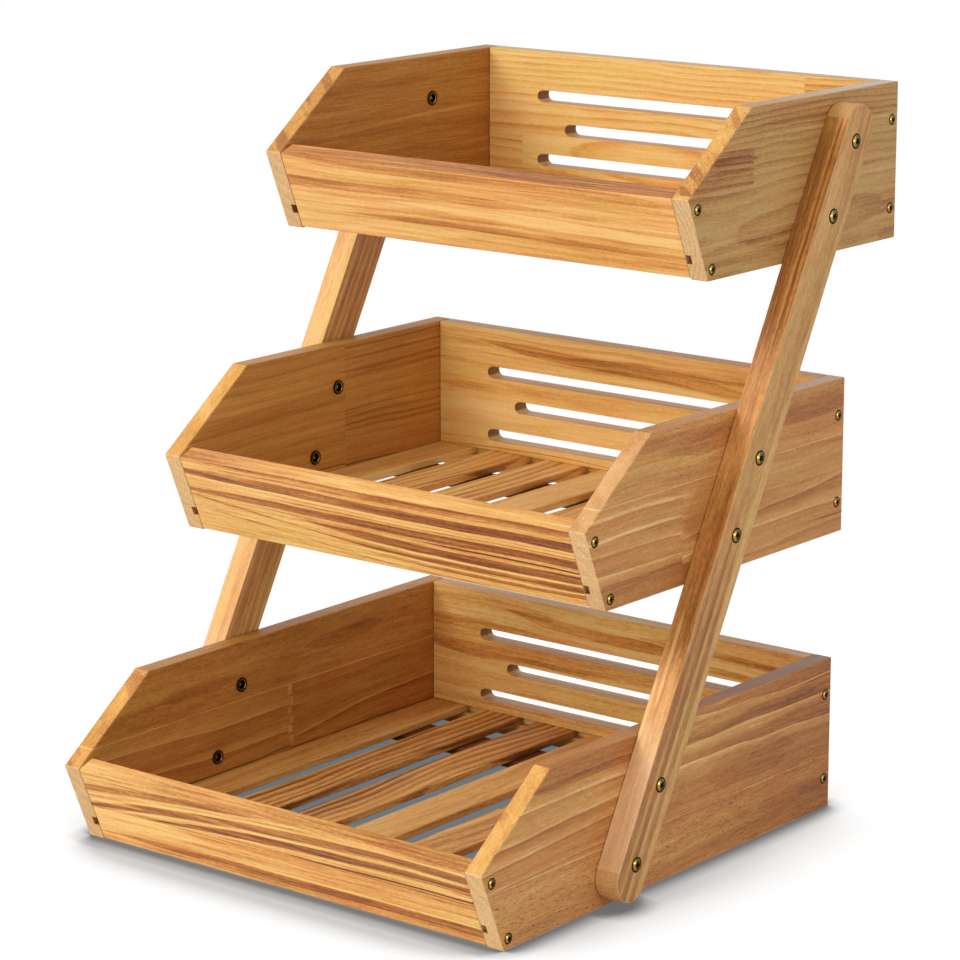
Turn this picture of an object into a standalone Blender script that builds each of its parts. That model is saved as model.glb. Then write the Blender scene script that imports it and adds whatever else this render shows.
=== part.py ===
"""Tiered fruit basket stand: three open wooden crates bolted between two leaning legs.

Metres, +Z up, +X to the viewer's right, front of the stand towards -Y.
The origin is under the middle of the whole stand, on the surface it rests on.
"""

import math

import bmesh
import bpy

# Crates: outside width, board thickness and the profile of a side panel
stand_width = 0.400
board_thickness = 0.015
crate_height = 0.120
nose_height = 0.0615
front_lean = 0.0254
clip_length = 0.078
board_lift = 0.001

# Tiers: depth of each side panel along its foot, and where its front corner stands
bottom_depth = 0.409
middle_depth = 0.303
top_depth = 0.249
middle_setback = 0.1157
top_setback = 0.2349
tier_rise = 0.219

# Floors: loose slats let into a groove that runs round the inside of each crate
slat_count = 7
slat_width = 0.038
slat_thickness = 0.006
groove_foot = 0.0122
groove_slack = 0.0004
side_groove_depth = 0.005
side_groove_clearance = 0.0012
end_groove_depth = 0.007
batten_setback = 0.043
batten_end_clearance = 0.001

# Slots with round ends in the back boards, top and bottom ones alike
slot_height = 0.010
slot_spacing = 0.026
lowest_slot_height = 0.032
long_slot_inset = 0.0506
short_slot_inset = 0.0785

# Legs: one at each side, straight, with round ends
leg_thickness = 0.020
leg_width = 0.035
leg_setback_at_bottom = 0.1093
leg_setback_at_top = 0.1131
leg_tip_margin = 0.0285
lower_bolt_height = 0.033
upper_bolt_height = 0.0855

# Leg bolts and the sleeve nuts that they are screwed into
bolt_head_radius = 0.0058
bolt_head_height = 0.0020
bolt_rim_height = 0.0006
bolt_shank_radius = 0.0025
nut_radius = 0.0043
nut_length = 0.013
nut_flange_radius = 0.0058
nut_flange_thickness = 0.0010
nut_socket_radius = 0.0034
nut_socket_depth = 0.006

# Fits and finish
joint_gap = 0.0003
edge_ease = 0.0008
slat_edge_ease = 0.0005
cut_overrun = 0.004

# Counts that set how finely round shapes are faceted
arc_steps = 10
bolt_steps = 20
dome_steps = 4
hole_sides = 24
merge_distance = 0.00001

# Values worked out from the sizes above
inner_width = stand_width - 2 * board_thickness
board_span = inner_width - 2 * joint_gap
front_angle = math.atan2(front_lean, nose_height)
front_run = math.hypot(front_lean, nose_height)
groove_height = slat_thickness + joint_gap + groove_slack
groove_middle = groove_foot + groove_height / 2
slat_foot = groove_foot + joint_gap
slat_tuck = side_groove_depth - side_groove_clearance
slat_pitch = (inner_width + 2 * slat_tuck - slat_width) / (slat_count - 1)
front_board_slant = board_thickness / math.cos(front_angle)
front_face_inside = front_board_slant - groove_middle * math.tan(front_angle)
slot_middles = [lowest_slot_height + step * slot_spacing for step in range(3)]
slot_insets = [long_slot_inset, short_slot_inset, long_slot_inset]

tiers = [
    ("bottom", bottom_depth, 0, 0),
    ("middle", middle_depth, middle_setback, tier_rise),
    ("top", top_depth, top_setback, 2 * tier_rise),
]

# The legs' centre line, from the bottom crate's foot to the top crate's foot
leg_line_run = top_setback + leg_setback_at_top - leg_setback_at_bottom
leg_line_rise = 2 * tier_rise
leg_angle = math.atan2(leg_line_run, leg_line_rise)
lowest_bolt_along = lower_bolt_height / math.cos(leg_angle)
highest_bolt_along = (leg_line_rise + upper_bolt_height) / math.cos(leg_angle)
leg_length = highest_bolt_along - lowest_bolt_along + 2 * leg_tip_margin
leg_middle_along = (highest_bolt_along + lowest_bolt_along) / 2
leg_centre_x = stand_width / 2 + joint_gap + leg_thickness / 2
leg_face_x = stand_width / 2 + joint_gap + leg_thickness

# The whole stand reaches from the bottom crate's nose to the top crate's back
stand_front = -front_lean
stand_back = top_setback + top_depth
origin_setback = (stand_front + stand_back) / 2


def clear_scene():
    for item in list(bpy.data.objects):
        bpy.data.objects.remove(item)


def new_collection(name):
    collection = bpy.data.collections.new(name)
    bpy.context.scene.collection.children.link(collection)
    return collection


clear_scene()
pieces = new_collection("tiered_fruit_basket_stand")
cutters = new_collection("cutters")


def new_material(name, colour, roughness, metallic=0.0):
    material = bpy.data.materials.new(name)
    material.use_nodes = True
    shader = material.node_tree.nodes["Principled BSDF"]
    shader.inputs["Base Color"].default_value = (*colour, 1.0)
    shader.inputs["Roughness"].default_value = roughness
    shader.inputs["Metallic"].default_value = metallic
    return material


def new_empty(name, location, tilt=0.0, parent=None):
    empty = bpy.data.objects.new(name, None)
    empty.location = location
    empty.rotation_euler = (tilt, 0, 0)
    empty.parent = parent
    pieces.objects.link(empty)
    return empty


def place(item, parent, location, rotation=(0, 0, 0)):
    item.parent = parent
    item.location = location
    item.rotation_euler = rotation
    return item


def dress(item, colour, roughness, metallic=0.0):
    """Put the piece among the stand's parts, with a material of its own."""
    item.data.materials.append(new_material(item.name, colour, roughness, metallic))
    pieces.objects.link(item)
    return item


def box_mesh(name, size_x, size_y, size_z):
    mesh = bpy.data.meshes.new(name)
    shape = bmesh.new()
    bmesh.ops.create_cube(shape, size=1)
    bmesh.ops.scale(shape, vec=(size_x, size_y, size_z), verts=shape.verts)
    shape.to_mesh(mesh)
    shape.free()
    return mesh


def rod_mesh(name, radius, length, sides):
    mesh = bpy.data.meshes.new(name)
    shape = bmesh.new()
    bmesh.ops.create_cone(
        shape, cap_ends=True, segments=sides, radius1=radius, radius2=radius, depth=length
    )
    shape.to_mesh(mesh)
    shape.free()
    return mesh


def plate_mesh(name, points, thickness):
    """A flat outline given in its own plane, thickened about that plane."""
    curve = bpy.data.curves.new(name, "CURVE")
    curve.dimensions = "2D"
    curve.fill_mode = "BOTH"
    curve.extrude = thickness / 2
    spline = curve.splines.new("POLY")
    spline.points.add(len(points) - 1)
    for point, (along, up) in zip(spline.points, points):
        point.co = (along, up, 0, 1)
    spline.use_cyclic_u = True
    guide = bpy.data.objects.new(name, curve)
    cutters.objects.link(guide)
    shapes = bpy.context.evaluated_depsgraph_get()
    mesh = bpy.data.meshes.new_from_object(guide.evaluated_get(shapes))
    bpy.data.objects.remove(guide)
    bpy.data.curves.remove(curve)
    shape = bmesh.new()
    shape.from_mesh(mesh)
    bmesh.ops.remove_doubles(shape, verts=shape.verts, dist=merge_distance)
    bmesh.ops.dissolve_limit(
        shape, angle_limit=math.radians(1), verts=shape.verts, edges=shape.edges
    )
    shape.to_mesh(mesh)
    shape.free()
    mesh.name = name
    return mesh


def stadium(length, width):
    """A long outline with two half-round ends, centred, lying along its first axis."""
    radius = width / 2
    reach = length / 2 - radius
    points = []
    for end in (1, -1):
        for step in range(arc_steps + 1):
            turn = math.pi * (step / arc_steps - 0.5)
            points.append((end * (reach + radius * math.cos(turn)), end * radius * math.sin(turn)))
    return points


def ease_edges(item, width, segments):
    bevel = item.modifiers.new("eased_edges", "BEVEL")
    bevel.width = width
    bevel.segments = segments
    bevel.limit_method = "ANGLE"
    bevel.angle_limit = math.radians(30)


def cut(item, mesh, parent, location, rotation=(0, 0, 0)):
    """Cut the mesh's shape out of the piece, with the cutter placed as a piece is."""
    cutter = bpy.data.objects.new(item.name + "_cut", mesh)
    cutter.hide_render = True
    cutter.display_type = "WIRE"
    cutters.objects.link(cutter)
    place(cutter, parent, location, rotation)
    boolean = item.modifiers.new("cut", "BOOLEAN")
    boolean.operation = "DIFFERENCE"
    boolean.solver = "EXACT"
    boolean.object = cutter


# An outline drawn as (depth, height) stands upright across the stand with this turn,
# and a rod lies along the stand's width with the next one
upright_turn = (math.pi / 2, 0, math.pi / 2)
crosswise_turn = (0, math.pi / 2, 0)
lengthwise_turn = (math.pi / 2, 0, 0)

golden_pine = (0.56, 0.31, 0.12)
tan_pine = (0.42, 0.26, 0.13)
striped_pine = (0.50, 0.24, 0.09)
slat_pine = (0.47, 0.23, 0.09)
leg_pine = (0.50, 0.29, 0.14)
yellow_zinc = (0.62, 0.50, 0.22)

# The legs' frame: its Z axis runs up along both legs, from the bottom crate's foot
stand = new_empty("stand_frame", (0, -origin_setback, 0))
leg_frame = new_empty("leg_frame", (0, leg_setback_at_bottom, 0), -leg_angle, stand)


def bolt_spots():
    """Each leg bolt's tier, its place up the tier and its distance up the leg."""
    spots = []
    for tier, depth, setback, rise in tiers:
        for level, height in (("lower", lower_bolt_height), ("upper", upper_bolt_height)):
            spots.append((tier, level, (rise + height) / math.cos(leg_angle)))
    return spots


def side_panel(name, side, frame, depth, tier):
    outline = [
        (0, 0),
        (depth, 0),
        (depth, crate_height),
        (clip_length - front_lean, crate_height),
        (-front_lean, nose_height),
    ]
    panel = bpy.data.objects.new(name, plate_mesh(name, outline, board_thickness))
    place(panel, frame, (side * (stand_width - board_thickness) / 2, 0, 0), upright_turn)
    ease_edges(panel, edge_ease, 2)
    groove_length = depth + front_lean + 2 * cut_overrun
    groove = box_mesh(name + "_groove", side_groove_depth + cut_overrun, groove_length, groove_height)
    groove_x = side * (inner_width / 2 + (side_groove_depth - cut_overrun) / 2)
    cut(panel, groove, frame, (groove_x, (depth - front_lean) / 2, groove_middle))
    nut_hole = rod_mesh(
        name + "_nut_hole", nut_radius + joint_gap, board_thickness + 2 * cut_overrun, hole_sides
    )
    panel_x = side * (stand_width - board_thickness) / 2
    for spot_tier, level, along in bolt_spots():
        if spot_tier == tier:
            cut(panel, nut_hole, leg_frame, (panel_x, 0, along), crosswise_turn)
    return dress(panel, tan_pine, 0.5)


def front_board(name, frame):
    """The board leans with the side panels' front edges and is square to its own face."""
    height = front_run - board_lift
    board = bpy.data.objects.new(name, box_mesh(name, board_span, board_thickness, height))
    up_face = (front_run + board_lift) / 2
    middle_y = board_thickness / 2 * math.cos(front_angle) - up_face * math.sin(front_angle)
    middle_z = board_thickness / 2 * math.sin(front_angle) + up_face * math.cos(front_angle)
    place(board, frame, (0, middle_y, middle_z), (front_angle, 0, 0))
    ease_edges(board, edge_ease, 2)
    groove = box_mesh(
        name + "_groove", inner_width + 2 * cut_overrun, end_groove_depth + cut_overrun, groove_height
    )
    groove_y = front_face_inside + (cut_overrun - end_groove_depth) / 2
    cut(board, groove, frame, (0, groove_y, groove_middle))
    return dress(board, striped_pine, 0.5)


def back_board(name, frame, depth):
    height = crate_height - board_lift
    board = bpy.data.objects.new(name, box_mesh(name, board_span, board_thickness, height))
    middle_y = depth - board_thickness / 2
    place(board, frame, (0, middle_y, (crate_height + board_lift) / 2))
    ease_edges(board, edge_ease, 2)
    groove = box_mesh(
        name + "_groove", inner_width + 2 * cut_overrun, end_groove_depth + cut_overrun, groove_height
    )
    groove_y = depth - board_thickness + (end_groove_depth - cut_overrun) / 2
    cut(board, groove, frame, (0, groove_y, groove_middle))
    for middle, inset in zip(slot_middles, slot_insets):
        slot = plate_mesh(
            name + "_slot",
            stadium(inner_width - 2 * inset, slot_height),
            board_thickness + 2 * cut_overrun,
        )
        cut(board, slot, frame, (0, middle_y, middle), lengthwise_turn)
    return dress(board, golden_pine, 0.5)


def slats(tier, frame, depth):
    front_end = front_face_inside - end_groove_depth + groove_slack
    back_end = depth - board_thickness + end_groove_depth - joint_gap
    for number in range(slat_count):
        name = tier + "_slat_" + str(number + 1)
        slat = bpy.data.objects.new(
            name, box_mesh(name, slat_width, back_end - front_end, slat_thickness)
        )
        slat_x = (number - (slat_count - 1) / 2) * slat_pitch
        place(slat, frame, (slat_x, (front_end + back_end) / 2, slat_foot + slat_thickness / 2))
        ease_edges(slat, slat_edge_ease, 1)
        dress(slat, slat_pine, 0.5)


def battens(tier, frame, depth):
    """Two cross battens of the slats' own stock carry the slats from below."""
    reach = batten_setback + slat_width / 2
    span = inner_width - 2 * batten_end_clearance
    middles = {"front": front_face_inside + reach, "rear": depth - board_thickness - reach}
    for end, middle_y in middles.items():
        name = tier + "_batten_" + end
        batten = bpy.data.objects.new(name, box_mesh(name, span, slat_width, slat_thickness))
        place(batten, frame, (0, middle_y, slat_foot - joint_gap - slat_thickness / 2))
        ease_edges(batten, slat_edge_ease, 1)
        dress(batten, slat_pine, 0.6)


def leg(name, side):
    outline = stadium(leg_length, leg_width)
    post = bpy.data.objects.new(name, plate_mesh(name, outline, leg_thickness))
    # The outline lies along its first axis, which this turn stands up along the leg
    place(post, leg_frame, (side * leg_centre_x, 0, leg_middle_along), (0, -math.pi / 2, 0))
    ease_edges(post, edge_ease, 2)
    bolt_hole = rod_mesh(
        name + "_bolt_hole", bolt_shank_radius + joint_gap, leg_thickness + 2 * cut_overrun, hole_sides
    )
    for tier, level, along in bolt_spots():
        cut(post, bolt_hole, leg_frame, (side * leg_centre_x, 0, along), crosswise_turn)
    return dress(post, leg_pine, 0.5)


def bolt_profile():
    """Half section of a leg bolt with its flanged sleeve nut, from the dome to the nut's mouth."""
    cap = bolt_head_height - bolt_rim_height
    sphere = (bolt_head_radius ** 2 + cap ** 2) / (2 * cap)
    spread = math.asin(bolt_head_radius / sphere)
    points = []
    for step in range(dome_steps + 1):
        turn = spread * step / dome_steps
        points.append((sphere * math.sin(turn), bolt_head_height - sphere * (1 - math.cos(turn))))
    panel_inside = -(leg_thickness + joint_gap + board_thickness)
    nut_back = panel_inside + nut_length
    nut_seat = panel_inside - joint_gap
    nut_mouth = nut_seat - nut_flange_thickness
    points += [
        (bolt_head_radius, joint_gap),
        (bolt_shank_radius, joint_gap),
        (bolt_shank_radius, nut_back),
        (nut_radius, nut_back),
        (nut_radius, nut_seat),
        (nut_flange_radius, nut_seat),
        (nut_flange_radius, nut_mouth),
        (0, nut_mouth),
    ]
    return points


def bolt_mesh():
    """The turned bolt and nut, with the nut's six-sided socket cut in its mouth."""
    points = bolt_profile()
    profile = bpy.data.meshes.new("bolt_profile")
    shape = bmesh.new()
    corners = [shape.verts.new((radius, 0, height)) for radius, height in points]
    for first, second in zip(corners, corners[1:]):
        shape.edges.new((first, second))
    shape.to_mesh(profile)
    shape.free()
    pattern = bpy.data.objects.new("bolt_pattern", profile)
    cutters.objects.link(pattern)
    screw = pattern.modifiers.new("turned", "SCREW")
    screw.steps = bolt_steps
    screw.render_steps = bolt_steps
    screw.use_merge_vertices = True
    screw.merge_threshold = merge_distance
    nut_mouth = points[-1][1]
    socket = rod_mesh("nut_socket", nut_socket_radius, nut_socket_depth + cut_overrun, 6)
    socket_z = nut_mouth + (nut_socket_depth - cut_overrun) / 2
    cut(pattern, socket, None, (0, 0, socket_z))
    shapes = bpy.context.evaluated_depsgraph_get()
    mesh = bpy.data.meshes.new_from_object(pattern.evaluated_get(shapes))
    mesh.name = "leg_bolt"
    mesh.shade_smooth()
    mesh.set_sharp_from_angle(angle=math.radians(35))
    bpy.data.objects.remove(pattern.modifiers["cut"].object)
    bpy.data.objects.remove(pattern)
    return mesh


def leg_bolts(side_name, side, mesh):
    for tier, level, along in bolt_spots():
        name = "_".join(("leg_bolt", side_name, tier, level))
        bolt = bpy.data.objects.new(name, mesh.copy())
        place(bolt, leg_frame, (side * leg_face_x, 0, along), (0, side * math.pi / 2, 0))
        dress(bolt, yellow_zinc, 0.3, 1.0)


def crate(tier, depth, setback, rise):
    frame = new_empty(tier + "_crate_frame", (0, setback, rise), parent=stand)
    side_panel(tier + "_side_left", -1, frame, depth, tier)
    side_panel(tier + "_side_right", 1, frame, depth, tier)
    front_board(tier + "_front_board", frame)
    back_board(tier + "_back_board", frame, depth)
    slats(tier, frame, depth)
    battens(tier, frame, depth)


for tier_row in tiers:
    crate(*tier_row)
bolt = bolt_mesh()
for side_label, side_sign in (("left", -1), ("right", 1)):
    leg("leg_" + side_label, side_sign)
    leg_bolts(side_label, side_sign, bolt)
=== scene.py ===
"""Looks for the tiered fruit basket stand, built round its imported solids.

The solids already have the joinery's true shapes, so each board keeps its own solid and
takes a finish of its own. The bolts and corner screws are made here in full.
"""
import math

import bmesh
import bpy
from mathutils import Matrix, Vector


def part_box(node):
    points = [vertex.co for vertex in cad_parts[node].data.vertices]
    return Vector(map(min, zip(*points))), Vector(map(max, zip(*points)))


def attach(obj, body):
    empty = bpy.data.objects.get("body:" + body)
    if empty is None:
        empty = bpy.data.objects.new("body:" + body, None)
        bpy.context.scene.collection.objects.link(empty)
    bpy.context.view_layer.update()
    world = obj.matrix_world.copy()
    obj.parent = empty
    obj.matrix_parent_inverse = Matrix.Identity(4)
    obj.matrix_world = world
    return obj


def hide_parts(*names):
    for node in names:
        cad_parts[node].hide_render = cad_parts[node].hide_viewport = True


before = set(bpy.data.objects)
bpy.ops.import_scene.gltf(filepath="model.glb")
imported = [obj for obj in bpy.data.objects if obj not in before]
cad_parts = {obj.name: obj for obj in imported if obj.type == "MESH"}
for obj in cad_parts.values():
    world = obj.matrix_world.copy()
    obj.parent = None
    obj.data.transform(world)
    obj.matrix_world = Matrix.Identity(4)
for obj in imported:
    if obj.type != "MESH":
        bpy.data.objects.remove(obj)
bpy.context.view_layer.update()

# Sizes that the solids were drawn with, in metres
crate_half_width = 0.200
board_thickness = 0.015
crate_height = 0.120
nose_height = 0.0615
front_lean = 0.0254
tier_rise = 0.219
leg_thickness = 0.020
joint_gap = 0.0003
leg_setback = 0.1093
lower_bolt_height = 0.033
upper_bolt_height = 0.0855
origin_setback = 0.22925
top_setback = 0.2349
leg_setback_at_top = 0.1131
clip_length = 0.078

# Each tier: its name, depth, setback and height above the floor
tiers = [
    ("bottom", 0.409, 0.0, 0.0),
    ("middle", 0.303, 0.1157, tier_rise),
    ("top", 0.249, top_setback, 2 * tier_rise),
]

clip_drop = math.hypot(clip_length, crate_height - nose_height)
clip_facing = (0, -(crate_height - nose_height) / clip_drop, clip_length / clip_drop)
front_angle = math.atan2(front_lean, nose_height)
leg_angle = math.atan2(top_setback + leg_setback_at_top - leg_setback, 2 * tier_rise)
leg_face_x = crate_half_width + joint_gap + leg_thickness


def new_object(name, data):
    """An object of the data, in the scene."""
    item = bpy.data.objects.new(name, data)
    bpy.context.scene.collection.objects.link(item)
    return item


# Camera, as the photograph was taken
camera_data = bpy.data.cameras.new("camera")
camera_data.lens = 135.0
camera_data.sensor_width = 36.0
camera_data.clip_start = 0.05
camera_data.clip_end = 60.0
camera = new_object("camera", camera_data)
camera.location = (1.6522, -2.0804, 0.8917)
camera.rotation_euler = (math.radians(76.7095), 0, math.radians(38.518))
bpy.context.scene.camera = camera


def linear(red, green, blue):
    """An 8-bit screen colour as the linear values that a shader takes."""
    shares = [value / 255 for value in (red, green, blue)]
    channels = [share / 12.92 if share <= 0.04045 else ((share + 0.055) / 1.055) ** 2.4 for share in shares]
    return (*channels, 1.0)


def grey(level):
    """A grey of the given linear level."""
    return (level, level, level, 1.0)


class Graph:
    """The nodes of a material or a world, with short calls for what they share."""

    def __init__(self, owner):
        owner.use_nodes = True
        self.owner = owner
        self.nodes = owner.node_tree.nodes
        self.links = owner.node_tree.links
        self.shader = self.nodes.get("Principled BSDF")

    def feed(self, socket, value):
        if isinstance(value, bpy.types.NodeSocket):
            self.links.new(value, socket)
        else:
            socket.default_value = value

    def give(self, socket_name, value):
        """Feed one of the surface shader's own sockets."""
        self.feed(self.shader.inputs[socket_name], value)

    def node(self, kind, feeds=None, **settings):
        node = self.nodes.new("ShaderNode" + kind)
        for key, value in settings.items():
            setattr(node, key, value)
        for key, value in (feeds or {}).items():
            self.feed(node.inputs[key], value)
        return node

    def math(self, operation, first, second=0.0, third=0.0, clamp=False):
        feeds = {0: first, 1: second, 2: third}
        return self.node("Math", feeds, operation=operation, use_clamp=clamp).outputs[0]

    def times(self, first, second):
        return self.math("MULTIPLY", first, second)

    def plus(self, first, second):
        return self.math("ADD", first, second)

    def minus(self, first, second):
        return self.math("SUBTRACT", first, second)

    def affine(self, value, factor, extra, clamp=False):
        """The value times the factor, plus the extra."""
        return self.math("MULTIPLY_ADD", value, factor, extra, clamp)

    def within(self, value, low, high):
        """1 between low and high, and 0 outside them."""
        return self.math("COMPARE", value, (low + high) / 2, (high - low) / 2)

    def distance(self, first, second):
        """How far apart two numbers are."""
        return self.math("ABSOLUTE", self.minus(first, second))

    def vector(self, operation, first, second=(0, 0, 0)):
        node = self.node("VectorMath", {0: first, 1: second}, operation=operation)
        return node.outputs["Value"] if operation in ("LENGTH", "DOT_PRODUCT") else node.outputs[0]

    def axis(self, point, letter):
        return self.node("SeparateXYZ", {0: point}).outputs[letter]

    def stretch(self, point, scales, shift):
        """The point scaled by a different number on each axis, then shifted by a seed."""
        scaled = self.vector("MULTIPLY", point, scales)
        return self.vector("ADD", scaled, (shift * 3.1, shift * 7.7, shift * 5.3))

    def noise(self, point, detail, roughness, colour=False):
        feeds = {"Vector": point, "Scale": 1.0, "Detail": detail, "Roughness": roughness}
        return self.node("TexNoise", feeds).outputs["Color" if colour else "Fac"]

    def chance(self, value):
        """A steady random number for each whole number."""
        return self.node("TexWhiteNoise", {"W": value}, noise_dimensions="1D").outputs["Value"]

    def smooth(self, value, low, high):
        """0 below low, 1 above high, and a soft step between them."""
        feeds = {"Value": value, "From Min": low, "From Max": high}
        return self.node("MapRange", feeds, interpolation_type="SMOOTHSTEP").outputs["Result"]

    def ramp(self, factor, stops, interpolation="LINEAR"):
        node = self.node("ValToRGB", {"Fac": factor})
        node.color_ramp.interpolation = interpolation
        elements = node.color_ramp.elements
        for position, colour in stops[1:-1]:
            elements.new(position).color = colour
        elements[0].position, elements[0].color = stops[0]
        elements[len(stops) - 1].position, elements[len(stops) - 1].color = stops[-1]
        return node.outputs["Color"]

    def palette(self, tone, colours):
        """Wood colour by how dark the tone is."""
        return self.ramp(tone, list(zip(palette_places, [linear(*colour) for colour in colours])))

    def curve(self, factor, points, interpolation="EASE"):
        """A number read off a list of (position, value) pairs."""
        return self.ramp(factor, [(position, grey(value)) for position, value in points], interpolation)

    def blend(self, factor, first, second, kind="MIX"):
        feeds = {0: factor, 6: first, 7: second}
        return self.node("Mix", feeds, data_type="RGBA", blend_type=kind).outputs[2]

    def bump(self, height, strength, distance):
        bump = self.node("Bump", {"Height": height, "Strength": strength, "Distance": distance})
        self.give("Normal", bump.outputs["Normal"])


# Wood colours from pale to toasted, by screen value, and where each lies on the tone's scale
palette_places = (0.0, 0.34, 0.66, 1.0)
front_pine = [(255, 214, 134), (238, 176, 96), (188, 118, 60), (120, 66, 42)]
top_front_pine = [(254, 206, 132), (238, 176, 98), (206, 134, 68), (150, 88, 46)]
side_pine = [(246, 204, 140), (218, 160, 94), (190, 124, 68), (138, 80, 48)]
top_side_pine = [(212, 172, 110), (196, 151, 90), (176, 120, 66), (134, 80, 46)]
left_pine = [(222, 174, 98), (202, 147, 73), (176, 115, 48), (136, 78, 31)]
back_pine = [(255, 218, 146), (245, 195, 112), (222, 157, 78), (172, 108, 50)]
slat_pine = [(255, 218, 142), (240, 182, 102), (190, 126, 64), (114, 68, 36)]
leg_pine = [(240, 196, 130), (212, 162, 98), (178, 120, 70), (132, 80, 46)]
leg_front_pine = [(248, 196, 124), (222, 156, 84), (172, 108, 50), (118, 70, 34)]
leg_low_pine = [(250, 208, 160), (232, 178, 128), (196, 138, 94), (140, 90, 58)]
# Painted shade: the battens are painted dark as the shade under the slats
shaded_batten_pine = [(132, 80, 48), (108, 64, 38), (86, 48, 27), (58, 32, 18)]
clip_pine = [(255, 204, 122), (238, 174, 88), (198, 130, 62), (152, 92, 46)]
pale_clip_pine = [(246, 202, 144), (232, 176, 116), (206, 142, 84), (166, 104, 58)]

# Between pinkish and olive
drift_hues = [(0.34, (1.0, 0.90, 0.86, 1.0)), (0.50, grey(1.0)), (0.66, (0.93, 1.0, 0.82, 1.0))]

# A board's look where its own entry doesn't say otherwise: places in mm, the rest as tone
wood_defaults = dict(
    pith=(40.0, 190.0), ring=8.0, bow=(0.0, 0.0), bend=3.5, bend_rate=0.005, wobble=0.3,
    late=0.40, steady=0.2, broad=0.45, streak=0.50, fibre=0.65, grit=0.45, mottle=0.0, drift=0.60,
    hairs=0.0, base=0.30, rise_tones=None, rise_colours=None, run_tones=None,
    marks=(), edges=(), rise_marks=(), joints=(), glue_lines=(), glue_tone=-0.34, flecks=0.0,
    end_tint=(255, 215, 156), end_mix=0.66, end_range=(0.60, 0.88),
    cool_run=(-2000.0, -1000.0), cool_mix=0.0, cool_edge=(160, 132, 122), clip=None,
)

# Noises of the wood: how fast each changes along, into and up the board, its shift from the
# board's seed, its detail and its roughness
grain_noises = {
    "wobble": ((0.030, 0.05, 0.05), 4, 2.0, 0.5),
    "fade": ((0.008, 0.04, 0.04), 9, 2.0, 0.5),
    "broad": ((0.003, 0.050, 0.050), 15, 2.0, 0.55),
    "fibre": ((0.022, 0.75, 0.75), 21, 3.0, 0.65),
    "streak": ((0.010, 0.34, 0.34), 26, 2.0, 0.60),
    "dash": ((0.20, 1.6, 1.6), 30, 1.0, 0.5),
    "patch": ((0.012, 0.03, 0.03), 34, 1.0, 0.5),
    "wear_and_highlight": ((0.03, 0.1, 0.1), 40, 2.0, 0.6),
    "speckle": ((0.8, 0.8, 0.8), 50, 3.0, 0.7),
    "hairs": ((0.005, 0.95, 0.95), 60, 2.0, 0.5),
    "drift": ((0.010, 0.040, 0.040), 70, 2.0, 0.5),
    "sawn": ((0.095, 0.015, 0.02), 80, 1.0, 0.5),
    "grit": ((0.22, 0.85, 0.85), 90, 2.0, 0.6),
    "mottle": ((0.050, 0.22, 0.22), 95, 3.0, 0.65),
}

# Soft steps, each from where it starts to where it is full
rise_facing = (0.50, 0.85)
clip_range = (0.90, 0.98)
sheen_facing = (0.80, 0.97)
hair_range = (0.57, 0.66)
dash_range = (0.655, 0.70)
patch_range = (0.38, 0.52)
speckle_range = (0.38, 0.60)
sawn_range = (0.50, 0.57)
glue_range = (0.15, 0.55)
low_leg_run = (90.0, 150.0)

# How dark a growth ring is from its early wood to its late wood
ring_profile = [
    (0.0, 0.15), (0.08, 0.0), (0.30, 0.06), (0.55, 0.42), (0.76, 0.85), (0.88, 1.0), (0.95, 0.75),
    (1.0, 0.15),
]

# How dark a single ring edge is from its pale side to its dark side, where the zero is no change
edge_zero = 0.58
edge_profile = [(0.0, edge_zero), (0.30, 0.36), (0.475, 0.0), (0.53, 1.0), (0.66, 0.82), (1.0, edge_zero)]

# How far a glued-in block's grain is moved from the board's own, in mm
block_shift = (170.0, 7.0, 19.0)


def finger_joints(g, point, joints):
    """Blocks of other wood glued into the board: each has a place, a tone and its own grain."""
    run = g.axis(point, "X")
    height = g.axis(point, "Z")
    tone = 0.0
    number = 0.0
    for count, (start, stop, low, high, block_tone) in enumerate(joints):
        inside = g.times(g.within(run, start, stop), g.within(height, low, high))
        tone = g.affine(inside, block_tone, tone)
        number = g.affine(inside, 1.0 + 0.37 * count, number)
    moves = {index: g.times(number, move) for index, move in enumerate(block_shift)}
    shift = g.node("CombineXYZ", moves)
    return g.vector("ADD", point, shift.outputs[0]), tone


def glue_mask(g, point, glue_lines):
    """Hairlines where strips are glued edge to edge: (start, stop, height, slope) of each."""
    run = g.axis(point, "X")
    mask = 0.0
    for start, stop, height, slope in glue_lines:
        away = g.distance(g.axis(point, "Z"), g.affine(run, slope, height))
        hair = g.minus(1.0, g.smooth(away, *glue_range))
        mask = g.affine(hair, g.within(run, start, stop), mask)
    return mask


def line_height(g, run, level, slope, bow):
    """How high a bowed line is, along the board."""
    return g.affine(run, g.affine(run, bow, slope), level)


def mark_tone(g, run, height, marks):
    """Single streaks laid along the grain, wavy as it is.

    Each is (start, stop, height, slope, curve, half its width, tone), in mm.
    """
    total = 0.0
    for start, stop, level, slope, bow, half_width, tone in marks:
        away = g.distance(height, line_height(g, run, level, slope, bow))
        from_middle = g.distance(run, (start + stop) / 2)
        taper = g.affine(from_middle, 5.0 / (stop - start), -1.5, True)
        edge = g.affine(away, 1 / half_width, taper)
        soft = min(0.45, 0.5 / half_width)
        body = g.minus(1.0, g.smooth(edge, 1.0 - soft, 1.0 + soft))
        total = g.affine(body, tone, total)
    return total


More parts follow.
